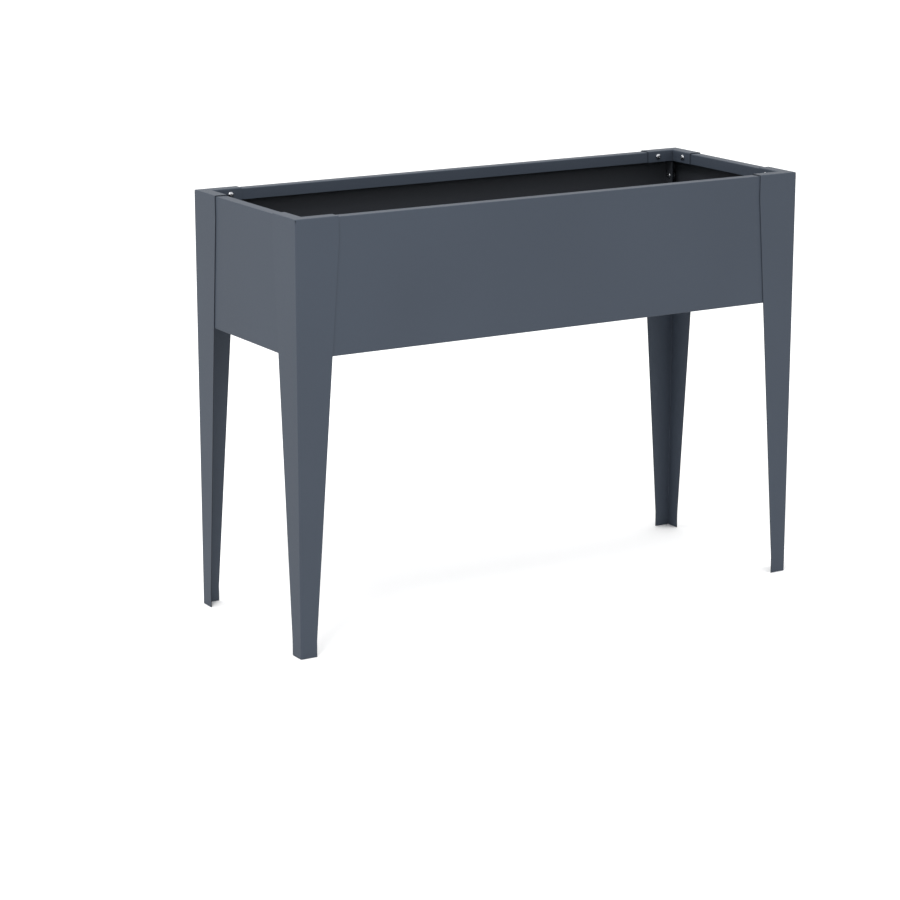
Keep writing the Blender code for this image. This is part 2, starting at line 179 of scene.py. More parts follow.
class Finish:
    """A material put together from nodes, around one Principled shader."""

    def __init__(self, name, constants):
        self.material = bpy.data.materials.new(name)
        self.material.use_nodes = True
        self.tree = self.material.node_tree
        self.shader = self.tree.nodes["Principled BSDF"]
        self.place = self.node("ShaderNodeTexCoord", {}, {}, "Object")
        self.feed(self.shader, constants)

    def feed(self, node, sockets):
        for socket, value in sockets.items():
            if isinstance(value, Amount):
                self.tree.links.new(value.socket, node.inputs[socket])
            else:
                node.inputs[socket].default_value = value

    def node(self, kind, settings, sockets, output=0):
        made = self.tree.nodes.new(kind)
        for setting, value in settings.items():
            setattr(made, setting, value)
        self.feed(made, sockets)
        return Amount(self, made.outputs[output])

    def noise(self, size, detail=2.0):
        """Soft noise whose lumps are about as wide as size, in metres."""
        sockets = {"Vector": self.place, "Scale": 1 / size, "Detail": detail}
        return self.node("ShaderNodeTexNoise", {}, sockets, "Fac")

    def blend(self, factor, first, second):
        sockets = {MIX_FACTOR: factor, MIX_FIRST: (*first, 1), MIX_SECOND: (*second, 1)}
        return self.node("ShaderNodeMix", {"data_type": "RGBA"}, sockets, MIX_COLOUR)

    def relief(self, height):
        """A normal that is tilted by a height in metres."""
        return self.node("ShaderNodeBump", {}, {"Height": height, "Distance": 1.0}, "Normal")


print("finishes can be made")

# %% [markdown]
# ## Powder coat
# The sheets are sprayed with anthracite polyester powder and baked. Close up such a film has a
# fine grain and a soft orange peel a few millimetres wide, and over a whole panel its tone
# drifts a little. The heights below are in metres, so the relief has its real size.
#
# The trough's inner side is hidden by soil in use. It lies deep in shade and looks almost black
# from outside, so it gets a darker and flatter film of its own, which paints that shade in. The
# sheared edges get a dark film too: a fine line of painted shade round every sheet, which stands
# in for the shadow in the seams where the sheets meet.

# %% Mix the powder coats
ANTHRACITE = Vector((0.0352, 0.0449, 0.0612))
# painted shade: a darker tone for the trough's inner side, standing in for the shade inside the
# trough
INSIDE_SHADE_TONE = Vector((0.0225, 0.0252, 0.0305))
# painted shade: sheared edges are darkened to stand in for the shadow lines in the seams between
# sheets
EDGE_SHADE = 0.38  # what an edge keeps of the film's tone
TONE_SWING = 0.14  # how far the film's tone drifts to either side
FILM_SHEEN = 0.22
DRIFT_SIZE = 0.28
PEEL_SIZE = 0.0035
PEEL_HEIGHT = 0.000012
PEEL_ROUGHNESS = 0.10
GRAIN_SIZE = 0.0006
GRAIN_HEIGHT = 0.000006
GRAIN_ROUGHNESS = 0.06


def powder_coat(name, colour, roughness):
    coat = Finish(name, {"Specular IOR Level": FILM_SHEEN})
    drift = coat.noise(DRIFT_SIZE, detail=1.0)
    peel = coat.noise(PEEL_SIZE, detail=1.0)
    grain = coat.noise(GRAIN_SIZE)
    tone = 0.6 * drift + 0.25 * peel + 0.15 * grain  # the shares add up to one
    height = PEEL_HEIGHT * peel + GRAIN_HEIGHT * grain
    uneven = roughness + PEEL_ROUGHNESS * (peel - 0.5) + GRAIN_ROUGHNESS * (grain - 0.5)
    coat.feed(coat.shader, {
        "Base Color": coat.blend(tone, (1 - TONE_SWING) * colour, (1 + TONE_SWING) * colour),
        "Roughness": uneven,
        "Normal": coat.relief(height),
    })
    return coat.material


leg_coat = powder_coat("leg_powder_coat", ANTHRACITE, roughness=0.58)
panel_coat = powder_coat("panel_powder_coat", ANTHRACITE, roughness=0.60)
base_coat = powder_coat("base_powder_coat", ANTHRACITE, roughness=0.66)
# the inside film is painted shade
inside_shade_coat = powder_coat("inside_shade_powder_coat", INSIDE_SHADE_TONE, roughness=0.70)
# the edge film is painted shade along the seams
edge_shade_coat = powder_coat("edge_shade_powder_coat", EDGE_SHADE * ANTHRACITE, roughness=0.70)
print("coats:", *[coat.name for coat in (leg_coat, panel_coat, base_coat, inside_shade_coat, edge_shade_coat)])

# %% [markdown]
# ## Bright zinc
# Screws, nuts and studs are electroplated and passivated. The plating is a smooth, slightly blue
# metal that mirrors its surroundings. Small patches are paler and rougher, because the bare
# steel under them was never polished.

# %% Plate the fasteners
BRIGHT_ZINC = (0.34, 0.35, 0.37)
BRIGHT_ROUGHNESS = 0.14
DULL_ZINC = (0.50, 0.51, 0.53)
DULL_ROUGHNESS = 0.16  # what the dullest patch adds
PATCH_SIZE = 0.0015
PIT_SIZE = 0.0002
PIT_HEIGHT = 0.000004


def zinc_plating(name):
    zinc = Finish(name, {"Metallic": 1.0})
    patch = zinc.noise(PATCH_SIZE)
    pit = zinc.noise(PIT_SIZE)
    zinc.feed(zinc.shader, {
        "Base Color": zinc.blend(0.7 * patch + 0.3 * pit, BRIGHT_ZINC, DULL_ZINC),
        "Roughness": BRIGHT_ROUGHNESS + DULL_ROUGHNESS * patch,
        "Normal": zinc.relief(PIT_HEIGHT * pit),
    })
    return zinc.material


zinc_plate = zinc_plating("bright_zinc")
print("plating:", zinc_plate.name)

# %% [markdown]
# ## Sheet work on the bench
# Every flat piece is made as in the workshop. A blank is cut, its edges are folded up, and the
# piece is then set in its place. On the bench x runs along the piece, y up its height and z
# towards the trough, so the outer side lies down.
#
# A sheet is drawn as a thin skin first, because folds are easy to round while there is only one
# layer of faces. Solidify then gives the skin its thickness, and a small Bevel breaks the sheared
# edges.

# %% Cut a blank
SAME_PLACE = 1e-6  # points nearer than this are one place
AXIS_X, AXIS_Y, AXIS_Z = Matrix.Identity(3)


def flat_blank(x_low, x_high, y_low, y_high):
    sheet = bmesh.new()
    bmesh.ops.create_grid(sheet, x_segments=1, y_segments=1, size=0.5)
    size = (x_high - x_low, y_high - y_low, 1)
    middle = ((x_low + x_high) / 2, (y_low + y_high) / 2, 0)
    bmesh.ops.scale(sheet, verts=sheet.verts, vec=size)
    bmesh.ops.translate(sheet, verts=sheet.verts, vec=middle)
    return sheet


def score(sheet, axis, places):
    """Part the skin's faces across one axis, at each of the places."""
    for place in places:
        everything = sheet.verts[:] + sheet.edges[:] + sheet.faces[:]
        bmesh.ops.bisect_plane(
            sheet, geom=everything, dist=SAME_PLACE, plane_co=place * axis, plane_no=axis
        )


def snip(sheet, is_lost):
    """Cut away the faces whose middle is where is_lost says."""
    lost = [face for face in sheet.faces if is_lost(*face.calc_center_median().xy)]
    bmesh.ops.delete(sheet, geom=lost, context="FACES")


trial = flat_blank(0, 2, 0, 1)
score(trial, AXIS_X, [0.5])
print("a trial blank scored once has", len(trial.faces), "faces")
trial.free()

# %% [markdown]
# Folding grows a flange from the free edges of the skin. The sharp fold lines are found by their
# angle afterwards and rounded in one go, to the outer radius that the sheet really takes.

# %% Fold and round
BEND_STEPS = 6
FOLD_ANGLE = math.pi / 4  # an edge that turns by more than this is a fold


def free_edges(sheet, axis, place):
    """The skin's free edges that lie at one place along an axis."""
    return [
        edge
        for edge in sheet.edges
        if edge.is_boundary and all(abs(v.co.dot(axis) - place) < SAME_PLACE for v in edge.verts)
    ]


def extrude_edges(sheet, edges):
    """Grow faces from edges, and return the new verts and free edges."""
    made = bmesh.ops.extrude_edge_only(sheet, edges=edges)["geom"]
    fresh = [item for item in made if isinstance(item, bmesh.types.BMVert)]
    rim = [
        item
        for item in made
        if isinstance(item, bmesh.types.BMEdge) and all(v in fresh for v in item.verts)
    ]
    return fresh, rim


def fold(sheet, edges, move):
    """Grow a flange from free edges, and return the flange's own free edges."""
    fresh, rim = extrude_edges(sheet, edges)
    bmesh.ops.translate(sheet, verts=fresh, vec=move)
    return rim


def round_folds(sheet, outside, thickness):
    """Turn the skin's outer side outwards, and round its sharp fold lines."""
    bmesh.ops.recalc_face_normals(sheet, faces=sheet.faces)
    largest = max(sheet.faces, key=lambda face: face.calc_area())
    if largest.normal.dot(outside) < 0:
        bmesh.ops.reverse_faces(sheet, faces=sheet.faces)
    inner_edges = [edge for edge in sheet.edges if edge.is_manifold]
    folds = [edge for edge in inner_edges if edge.calc_face_angle() > FOLD_ANGLE]
    bmesh.ops.bevel(
        sheet,
        geom=folds,
        affect="EDGES",
        offset=INNER_BEND + thickness,
        segments=BEND_STEPS,
        profile=0.5,
        material=-1,
    )
    return len(folds)


trial = flat_blank(0, 2, 0, 1)
fold(trial, free_edges(trial, AXIS_Y, 1), 0.1 * AXIS_Z)
print("a trial flange has", round_folds(trial, -AXIS_Z, PANEL_SHEET), "fold, now rounded")
trial.free()

# %% [markdown]
# Holes are drilled with a Boolean. The drills are rods that share one helper mesh, laid out on
# the bench with the piece. After the cut the result is kept as plain mesh, so the helpers can go.
# Weighted normals keep the big faces flat to the eye right up to their rounded edges.

# %% Turn a skin into a finished piece
EDGE_BREAK = 0.0002  # rounding of a sheared edge
BREAK_STEPS = 2
SHARP_ANGLE = math.radians(35)  # edges flatter than this are left as they are
BIG_FACES_FIRST = 100  # the strongest weight that a normal's faces can have
ROUND_STEPS = 32
EDGE_SHADE_SLOT, INSIDE_SHADE_SLOT = 1, 2  # a sheet's material slots after its outer film's


def rods(centres, axis, radius, length):
    """Equal rods along one axis, each with its middle at one of the centres."""
    bundle = bmesh.new()
    turn = AXIS_Z.rotation_difference(axis).to_matrix().to_4x4()
    for centre in centres:
        bmesh.ops.create_cone(
            bundle,
            cap_ends=True,
            segments=ROUND_STEPS,
            radius1=radius,
            radius2=radius,
            depth=length,
            matrix=Matrix.Translation(centre) @ turn,
        )
    return bundle


def block(corner, far_corner):
    """A body that fills the box between two opposite corners."""
    box_low = Vector(map(min, corner, far_corner))
    box_high = Vector(map(max, corner, far_corner))
    body = bmesh.new()
    bmesh.ops.create_cube(body, size=1)
    bmesh.ops.scale(body, verts=body.verts, vec=box_high - box_low)
    bmesh.ops.translate(body, verts=body.verts, vec=(box_low + box_high) / 2)
    return body


def as_object(name, body, finish, place):
    """Put a bmesh in its place and hand it over as an object that stays at the origin."""
    bmesh.ops.transform(body, matrix=place, verts=body.verts)
    mesh = bpy.data.meshes.new(name)
    body.to_mesh(mesh)
    body.free()
    mesh.materials.append(finish)
    mesh.shade_smooth()
    piece = bpy.data.objects.new(name, mesh)
    bpy.context.scene.collection.objects.link(piece)
    return piece


def combine(piece, helper, operation):
    """Let a helper cut a piece or join it, and keep the helper out of sight."""
    boolean = piece.modifiers.new(helper.name, "BOOLEAN")
    boolean.operation = operation
    boolean.solver = "EXACT"
    boolean.object = helper
    boolean.material_mode = "TRANSFER"
    helper.hide_render = True
    helper.display_type = "WIRE"


def break_edges(piece, width):
    """Round every edge that is still sharp."""
    bevel = piece.modifiers.new("edge_break", "BEVEL")
    bevel.width = width
    bevel.segments = BREAK_STEPS
    bevel.limit_method = "ANGLE"
    bevel.angle_limit = SHARP_ANGLE


def keep_result(piece):
    """Replace the modifiers by the mesh that they make, and clear the helpers away."""
    normals = piece.modifiers.new("flat_faces", "WEIGHTED_NORMAL")
    normals.weight = BIG_FACES_FIRST
    helpers = [m.object for m in piece.modifiers if m.type == "BOOLEAN"]
    depsgraph = bpy.context.evaluated_depsgraph_get()
    result = bpy.data.meshes.new_from_object(piece.evaluated_get(depsgraph), depsgraph=depsgraph)
    piece.modifiers.clear()
    result.name = piece.name
    piece.data = result
    for helper in helpers:
        bpy.data.objects.remove(helper)
    return piece


def finish_sheet(name, sheet, thickness, finish, place, cutters, studs=(), inside=None):
    """Thicken a skin, cut its holes, break its edges and weld its studs on."""
    piece = as_object(name, sheet, finish, place)
    solid = piece.modifiers.new("sheet_thickness", "SOLIDIFY")
    solid.thickness = thickness
    solid.offset = -1
    solid.use_even_offset = True
    solid.use_quality_normals = True
    # the sheared rim faces take the dark edge film, a painted shade line round every sheet
    piece.data.materials.append(edge_shade_coat)
    solid.material_offset_rim = EDGE_SHADE_SLOT
    # the inner side takes the darker film, which paints in the shade inside the trough
    if inside is not None:
        piece.data.materials.append(inside)
        solid.material_offset = INSIDE_SHADE_SLOT
    for number, cutter in enumerate(cutters):
        combine(piece, as_object(f"{name}_cutter_{number}", cutter, finish, place), "DIFFERENCE")
    break_edges(piece, EDGE_BREAK)
    for number, stud in enumerate(studs):
        combine(piece, as_object(f"{name}_stud_{number}", stud, zinc_plate, place), "UNION")
    return keep_result(piece)


def settle(piece, node):
    """Tie a finished piece to the frame: it rides on the root and stands for its CAD node."""
    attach(piece, "root")
    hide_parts(node)


print("sheets can be finished")

# %% [markdown]
# ## Fasteners
# Three parts are turned from outlines: a domed screw with a cross recess, a flange nut, and the
# weld stud of a leg. The screw and the nut are turned once and copied to every place; a stud is
# turned anew for each leg. Spin turns an outline of (radius, height) points round z. A real
# thread is a helix, but ridges one pitch apart look the same at this size and keep the body
# closed, so rings are used.

# %% Turn a body, and cut a thread into its outline
SHANK_RADIUS = 0.0030
THREAD_PITCH = 0.0010
THREAD_DEPTH = 0.0004
TURN_STEPS = 36


def turned(outline, closed=False):
    """A body turned round z from an outline of (radius, height) points."""
    body = bmesh.new()
    verts = [body.verts.new((radius, 0, z)) for radius, z in outline]
    edges = [body.edges.new(pair) for pair in zip(verts, verts[1:])]
    if closed:
        edges.append(body.edges.new((verts[-1], verts[0])))
    bmesh.ops.spin(
        body,
        geom=verts + edges,
        axis=AXIS_Z,
        cent=(0, 0, 0),
        angle=2 * math.pi,
        steps=TURN_STEPS,
        use_merge=True,
    )
    bmesh.ops.remove_doubles(body, verts=body.verts, dist=SAME_PLACE)
    bmesh.ops.recalc_face_normals(body, faces=body.faces)
    return body


def thread(start_radius, other_radius, z_top, z_end):
    """Outline points down a thread, which swings between two radii once a pitch."""
    turns = int((z_top - z_end) / THREAD_PITCH)
    points = []
    for turn in range(turns):
        z = z_top - turn * THREAD_PITCH
        points += [(start_radius, z), (other_radius, z - THREAD_PITCH / 2)]
    return points + [(start_radius, z_top - turns * THREAD_PITCH)]


trial_thread = thread(SHANK_RADIUS, SHANK_RADIUS - THREAD_DEPTH, 0.010, 0)
print("a 10 mm thread has", len(trial_thread), "outline points")

# %% Screw master
HEAD_RADIUS = 0.0055
HEAD_HEIGHT = 0.0033
HEAD_SIDE = 0.0011
SHANK_LENGTH = 0.012
RECESS_SPAN = 0.0052
RECESS_WING = 0.0013
RECESS_DEPTH = 0.0019
DOME_STEPS = 8
RECESS_TAPER = 0.35  # width of the recess at its bottom, as a share of its top
TINY_BREAK = 0.00008
AT_HOME = Matrix.Identity(4)
QUARTER_TURN = math.pi / 2


def cross_plug():
    """A plus-shaped plug that narrows downwards, to be cut out of the head."""
    plug = bmesh.new()
    bmesh.ops.create_grid(plug, x_segments=3, y_segments=3, size=RECESS_SPAN / 2)
    for vert in plug.verts:
        for axis in (0, 1):
            if abs(vert.co[axis]) < RECESS_SPAN / 3:
                vert.co[axis] = math.copysign(RECESS_WING / 2, vert.co[axis])
    wing = RECESS_WING / 2
    corners = [f for f in plug.faces if min(abs(c) for c in f.calc_center_median().xy) > wing]
    bmesh.ops.delete(plug, geom=corners, context="FACES")
    sides = bmesh.ops.extrude_face_region(plug, geom=plug.faces[:])["geom"]
    lower = [item for item in sides if isinstance(item, bmesh.types.BMVert)]
    bmesh.ops.translate(plug, verts=lower, vec=(0, 0, -2 * RECESS_DEPTH))
    bmesh.ops.scale(plug, verts=lower, vec=(RECESS_TAPER, RECESS_TAPER, 1))
    bmesh.ops.translate(plug, verts=plug.verts, vec=(0, 0, HEAD_HEIGHT + RECESS_DEPTH))
    bmesh.ops.recalc_face_normals(plug, faces=plug.faces)
    return plug


def make_screw():
    angles = [QUARTER_TURN * step / DOME_STEPS for step in range(DOME_STEPS + 1)]
    dome_height = HEAD_HEIGHT - HEAD_SIDE
    dome = [(HEAD_RADIUS * math.sin(a), HEAD_SIDE + dome_height * math.cos(a)) for a in angles]
    root = SHANK_RADIUS - THREAD_DEPTH
    shank = thread(SHANK_RADIUS, root, -THREAD_PITCH, THREAD_PITCH - SHANK_LENGTH)
    tip = [(root, -SHANK_LENGTH), (0, -SHANK_LENGTH)]
    outline = dome + [(HEAD_RADIUS, 0), (SHANK_RADIUS, 0)] + shank + tip
    screw = as_object("screw_master", turned(outline), zinc_plate, AT_HOME)
    combine(screw, as_object("recess_plug", cross_plug(), zinc_plate, AT_HOME), "DIFFERENCE")
    break_edges(screw, TINY_BREAK)
    return keep_result(screw)


screw_master = make_screw()
print("screw master:", len(screw_master.data.polygons), "faces")

# %% Nut master
NUT_FLATS = 0.010
NUT_HEIGHT = 0.006
NUT_FLANGE_RADIUS = 0.0065
NUT_FLANGE_SIDE = 0.0006
NUT_FLANGE_HEIGHT = 0.0012
THREAD_PLAY = 0.00005  # between the crests of a nut and of its screw
CHAMFER_HEIGHT = 0.0006
CHAMFER_TOP = 0.97  # radius of a nut's top, as a share of its flats
CHAMFER_ROWS = 5
SIXTH_TURN = math.pi / 3


def make_nut():
    flat = NUT_FLATS / 2
    corner = flat / math.cos(SIXTH_TURN / 2)
    chamfer_start = NUT_HEIGHT - CHAMFER_HEIGHT
    chamfer_slope = (corner - CHAMFER_TOP * flat) / CHAMFER_HEIGHT
    crest = SHANK_RADIUS + THREAD_PLAY
    shares = [row / CHAMFER_ROWS for row in range(CHAMFER_ROWS + 1)]
    rows = [NUT_HEIGHT - CHAMFER_HEIGHT * (1 - share) for share in shares]
    outline = [
        (crest + THREAD_DEPTH, 0),
        (NUT_FLANGE_RADIUS, 0),
        (NUT_FLANGE_RADIUS, NUT_FLANGE_SIDE),
        (flat, NUT_FLANGE_HEIGHT),
    ]
    outline += [(flat, z) for z in rows]
    outline += thread(crest + THREAD_DEPTH, crest, NUT_HEIGHT, THREAD_PITCH)
    body = turned(outline, closed=True)
    for vert in body.verts:
        radius = vert.co.xy.length
        if abs(radius - flat) < SAME_PLACE:
            from_flat = math.atan2(vert.co.y, vert.co.x) % SIXTH_TURN - SIXTH_TURN / 2
            across = flat / math.cos(from_flat)
            chamfered = corner - chamfer_slope * (vert.co.z - chamfer_start)
            vert.co.xy *= min(across, chamfered) / radius
    nut = as_object("nut_master", body, zinc_plate, AT_HOME)
    break_edges(nut, TINY_BREAK)
    return keep_result(nut)


nut_master = make_nut()
print("nut master:", len(nut_master.data.polygons), "faces")

# %% [markdown]
# ## Long and end panels
# Each panel is one blank. Its top edge is folded in twice, which makes the rim and the lip, and
# its bottom edge once, which makes the ledge that carries the floor. The ends differ: a long
# panel turns in one corner flange, and an end panel turns in a return with a lip, so that the
# two lie on each other at the corner and take the screws. An end panel's top lip is trimmed back
# at both ends, where the legs' own lips leave a notch.

# %% Places of the folds and holes
RIM_WIDTH = 0.026
LIP_HEIGHT = 0.0225
LEDGE_WIDTH = 0.020
HOLE_PLAY = 0.0005
HOLE_RADIUS = SHANK_RADIUS + HOLE_PLAY
DRILL_LENGTH = 0.006  # passes one sheet and reaches no other

PANEL_RIM = RIM_WIDTH - LEG_SHEET - SHEET_GAP - PANEL_INSET
PANEL_LIP = LIP_HEIGHT - LEG_SHEET - SHEET_GAP
CORNER_TOP = PANEL_RISE - PANEL_LIP - RELIEF
LONG_HALF = (panel_high.x - panel_low.x) / 2
END_HALF = (end_high.y - end_low.y) / 2
END_RETURN = RIM_WIDTH - PANEL_SHEET - SHEET_GAP - PANEL_INSET
CORNER_FLANGE = RIM_WIDTH - PANEL_INSET
CORNER_LIP = CORNER_FLANGE - PANEL_SHEET
LIP_TRIM = INNER_BEND + PANEL_SHEET + SHEET_GAP  # strip that an end panel's rim loses
CUT_PLAY = 0.001  # how far a cutter stands out of what it cuts


def middle_of(node):
    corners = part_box(node)
    return (corners[0] + corners[1]) / 2


rim_screw = middle_of("front_left_rim_long_screw")
stud_nut = middle_of("front_left_stud_nut_long")
lower_screw = middle_of("front_left_joint_lower_screw")
upper_screw = middle_of("front_left_joint_upper_screw")
RIM_SCREW_OFFSET = rim_screw.x - low.x
STUD_OFFSET = stud_nut.x - low.x
RIM_SCREW_RISE = rim_screw.z - BOX_BOTTOM
STUD_RISE = stud_nut.z - BOX_BOTTOM
JOINT_RISES = (lower_screw.z - BOX_BOTTOM, upper_screw.z - BOX_BOTTOM)
JOINT_DEPTH = lower_screw.y - low.y - PANEL_INSET
print(f"panel halves {LONG_HALF:.4f} and {END_HALF:.4f} m, joint screws at {JOINT_RISES}")

# %% Cut, fold and drill the four panels
def panel_blank(half):
    """A panel with its rim, lip and ledge folded up, and its ends still flat."""
    sheet = flat_blank(-half, half, 0, PANEL_RISE)
    score(sheet, AXIS_X, [-half + RELIEF, half - RELIEF])
    score(sheet, AXIS_Y, [RELIEF, CORNER_TOP])
    snip(sheet, lambda x, y: abs(x) > half - RELIEF and not RELIEF < y < CORNER_TOP)
    rim = fold(sheet, free_edges(sheet, AXIS_Y, PANEL_RISE), PANEL_RIM * AXIS_Z)
    fold(sheet, rim, -PANEL_LIP * AXIS_Y)
    fold(sheet, free_edges(sheet, AXIS_Y, 0), LEDGE_WIDTH * AXIS_Z)
    return sheet


def panel_drills(half_of_planter, joint_x, joint_depth, joint_axis):
    """Drills for the rim screws, the studs and the corner joints of a panel."""
    both = (-1, 1)
    rim_x = half_of_planter - RIM_SCREW_OFFSET
    stud_x = half_of_planter - STUD_OFFSET
    rim_depth = PANEL_RIM - PANEL_SHEET / 2
    face_depth = PANEL_SHEET / 2
    rim_holes = [(side * rim_x, RIM_SCREW_RISE, rim_depth) for side in both]
    stud_holes = [(side * stud_x, STUD_RISE, face_depth) for side in both]
    joint_holes = [(side * joint_x, rise, joint_depth) for side in both for rise in JOINT_RISES]
    return [
        rods(rim_holes + stud_holes, AXIS_Z, HOLE_RADIUS, DRILL_LENGTH),
        rods(joint_holes, joint_axis, HOLE_RADIUS, DRILL_LENGTH),
    ]


def long_panel(name, place):
    sheet = panel_blank(LONG_HALF)
    for side in (-1, 1):
        fold(sheet, free_edges(sheet, AXIS_X, side * LONG_HALF), CORNER_FLANGE * AXIS_Z)
    round_folds(sheet, -AXIS_Z, PANEL_SHEET)
    drills = panel_drills(LENGTH / 2, LONG_HALF - PANEL_SHEET / 2, JOINT_DEPTH, AXIS_X)
    return finish_sheet(name, sheet, PANEL_SHEET, panel_coat, place, drills, inside=inside_shade_coat)


def lip_trim(side):
    """What an end panel's lip loses at one corner, so that the legs' notches stay open."""
    return block(
        (side * (DEPTH / 2 - RIM_WIDTH), PANEL_RISE - PANEL_LIP - CUT_PLAY, PANEL_RIM - LIP_TRIM),
        (side * (END_HALF + CUT_PLAY), PANEL_RISE + CUT_PLAY, PANEL_RIM + CUT_PLAY),
    )


def end_panel(name, place):
    sheet = panel_blank(END_HALF)
    for side in (-1, 1):
        free = fold(sheet, free_edges(sheet, AXIS_X, side * END_HALF), END_RETURN * AXIS_Z)
        fold(sheet, free, -side * CORNER_LIP * AXIS_X)
    round_folds(sheet, -AXIS_Z, PANEL_SHEET)
    joint_x = END_HALF - JOINT_DEPTH
    cutters = panel_drills(DEPTH / 2, joint_x, END_RETURN - PANEL_SHEET / 2, AXIS_Z)
    cutters += [lip_trim(-1), lip_trim(1)]
    return finish_sheet(name, sheet, PANEL_SHEET, panel_coat, place, cutters, inside=inside_shade_coat)


def upright(x, y, quarter_turns):
    """From the bench to a standing panel whose outer face is at (x, y)."""
    turn = Matrix.Rotation(quarter_turns * QUARTER_TURN, 4, "Z")
    return Matrix.Translation((x, y, BOX_BOTTOM)) @ turn @ Matrix.Rotation(QUARTER_TURN, 4, "X")


panel_y = DEPTH / 2 - PANEL_INSET
panel_x = LENGTH / 2 - PANEL_INSET
for node, make, place in (
    ("front_panel", long_panel, upright(0, -panel_y, 2)),
    ("rear_panel", long_panel, upright(0, panel_y, 0)),
    ("left_end_panel", end_panel, upright(-panel_x, 0, 1)),
    ("right_end_panel", end_panel, upright(panel_x, 0, -1)),
):
    panel = make(f"{node}_folded", place)
    settle(panel, node)
    print(panel.name, len(panel.data.polygons), "faces")

# %% [markdown]
# ## Legs
# A leg is a long tapered blank, symmetrical about the line where it is folded into an L. The
# top is turned in over the panels as a rim, which is welded and ground along its mitre, and
# down again as two lips. Folds can't cross, so the lips stop short of each other and leave a
# narrow notch in the inner corner, and a small hole relieves the outer one. Two studs are
# welded to the inside and take the nuts that hold the panels.

# %% Shape of a leg
LEG_FOOT_WIDTH = 0.033
LEG_TOP_STRAIGHT = 0.045
LEG_FOOT_STRAIGHT = 0.030
STUD_LENGTH = 0.011


def leg_skin():
    """A leg's skin, its fold along z and its plates on the two upright planes."""
    sheet = flat_blank(-LEG_TOP_WIDTH, LEG_TOP_WIDTH, 0, HEIGHT)
    bmesh.ops.rotate(sheet, verts=sheet.verts, matrix=Matrix.Rotation(QUARTER_TURN, 3, "X"))
    score(sheet, AXIS_X, [0])
    score(sheet, AXIS_Z, [LEG_FOOT_STRAIGHT, HEIGHT - LEG_TOP_STRAIGHT])
    foot = [vert for vert in sheet.verts if vert.co.z < LEG_FOOT_STRAIGHT + SAME_PLACE]
    bmesh.ops.scale(sheet, verts=foot, vec=(LEG_FOOT_WIDTH / LEG_TOP_WIDTH, 1, 1))
    other_plate = [vert for vert in sheet.verts if vert.co.x < -SAME_PLACE]
    bmesh.ops.rotate(sheet, verts=other_plate, matrix=Matrix.Rotation(-QUARTER_TURN, 3, "Z"))

    fresh, rim = extrude_edges(sheet, free_edges(sheet, AXIS_Z, HEIGHT))
    for vert in fresh:
        on_x_plate = abs(vert.co.y) < SAME_PLACE
        on_y_plate = abs(vert.co.x) < SAME_PLACE
        vert.co += RIM_WIDTH * Vector((on_y_plate, on_x_plate, 0))
    fold(sheet, rim, -LIP_HEIGHT * AXIS_Z)
    round_folds(sheet, Vector((-1, -1, 0)), LEG_SHEET)
    return sheet


def weld_stud():
    """A threaded stud that stands on z = 0 and is rooted in the middle of the leg's sheet."""
    root = SHANK_RADIUS - THREAD_DEPTH
    outline = [(0, STUD_LENGTH), (root, STUD_LENGTH)]
    outline += thread(SHANK_RADIUS, root, STUD_LENGTH - THREAD_PITCH / 2, THREAD_PITCH)
    outline += [(SHANK_RADIUS, -LEG_SHEET / 2), (0, -LEG_SHEET / 2)]
    return turned(outline)


trial = leg_skin()
print("a leg's skin has", len(trial.faces), "faces")
trial.free()

# %% Set the four legs at their corners
OUTER_BEND = INNER_BEND + LEG_SHEET
CORNER_HOLE_RADIUS = 0.0013
LIP_NOTCH = OUTER_BEND + 2 * SHEET_GAP
NOTCH_START = RIM_WIDTH - LIP_NOTCH
NOTCH_END = RIM_WIDTH + CUT_PLAY

lip_middle = RIM_WIDTH - LEG_SHEET / 2
rim_screw_z = BOX_BOTTOM + RIM_SCREW_RISE
hole_x = (lip_middle, RIM_SCREW_OFFSET, rim_screw_z)
hole_y = (RIM_SCREW_OFFSET, lip_middle, rim_screw_z)
corner_hole = (LEG_SHEET / 2, LEG_SHEET / 2, HEIGHT - OUTER_BEND - CORNER_HOLE_RADIUS)
CORNERS = {
    "front_left": (-1, -1, 0),
    "front_right": (1, -1, 1),
    "rear_right": (1, 1, 2),
    "rear_left": (-1, 1, 3),
}

for corner, (side_x, side_y, quarter_turns) in CORNERS.items():
    place = Matrix.Translation((side_x * LENGTH / 2, side_y * DEPTH / 2, 0))
    place @= Matrix.Rotation(quarter_turns * QUARTER_TURN, 4, "Z")
    cutters = [
        rods([hole_x], AXIS_X, HOLE_RADIUS, DRILL_LENGTH),
        rods([hole_y], AXIS_Y, HOLE_RADIUS, DRILL_LENGTH),
        rods([corner_hole], AXIS_X + AXIS_Y, CORNER_HOLE_RADIUS, DRILL_LENGTH),
        block(
            (NOTCH_START, NOTCH_START, HEIGHT - LIP_HEIGHT - CUT_PLAY),
            (NOTCH_END, NOTCH_END, HEIGHT - LIP_NOTCH),
        ),
    ]
    studs = [weld_stud(), weld_stud()]
    for stud, axis in zip(studs, (AXIS_X, AXIS_Y)):
        along = AXIS_X + AXIS_Y - axis
        turn = AXIS_Z.rotation_difference(axis).to_matrix()
        bmesh.ops.rotate(stud, verts=stud.verts, matrix=turn)
        root = LEG_SHEET * axis + STUD_OFFSET * along + (BOX_BOTTOM + STUD_RISE) * AXIS_Z
        bmesh.ops.translate(stud, verts=stud.verts, vec=root)
    name = f"{corner}_leg"
    leg = finish_sheet(f"{name}_folded", leg_skin(), LEG_SHEET, leg_coat, place, cutters, studs)
    settle(leg, name)
    print(leg.name, len(leg.data.polygons), "faces")

